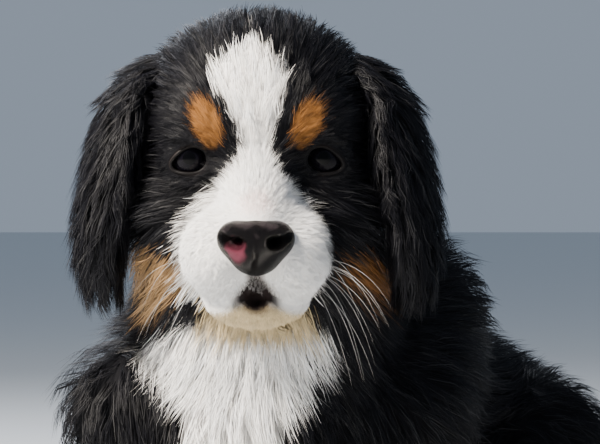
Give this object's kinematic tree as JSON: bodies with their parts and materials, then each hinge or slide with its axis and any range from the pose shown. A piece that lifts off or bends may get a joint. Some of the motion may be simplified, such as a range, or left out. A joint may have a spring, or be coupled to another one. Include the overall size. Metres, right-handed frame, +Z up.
{
  "type": "bernese mountain dog puppy",
  "caption": "Life-size still model of a long-coated mountain dog puppy lying on its chest with its head up.",
  "frame": {"origin": "centre of the part's box on the floor", "axes": "the head faces -Y, the dog's left is +X, +Z is up"},
  "size_m": [0.3204, 0.3652, 0.2731],
  "materials": {
    "coat_black": "soft black puppy fur",
    "coat_face": "short black, white and tan fur",
    "coat_white": "soft white fur",
    "coat_tan": "soft rust-brown fur",
    "nose_leather": "moist pebbled nose leather",
    "eye": "wet dark eye"
  },
  "bodies": {
    "root": {"head": "coat_face", "nose": "nose_leather", "eye_left": "eye", "eye_right": "eye", "ear_left": "coat_black", "ear_right": "coat_black", "neck": "coat_black", "chest": "coat_black", "loin": "coat_black", "foreleg_left": "coat_tan", "foreleg_right": "coat_tan", "forepaw_left": "coat_white", "forepaw_right": "coat_white", "thigh_left": "coat_black", "thigh_right": "coat_black", "hind_paw_left": "coat_white", "hind_paw_right": "coat_white", "tail": "coat_black"}
  },
  "joints": []
}
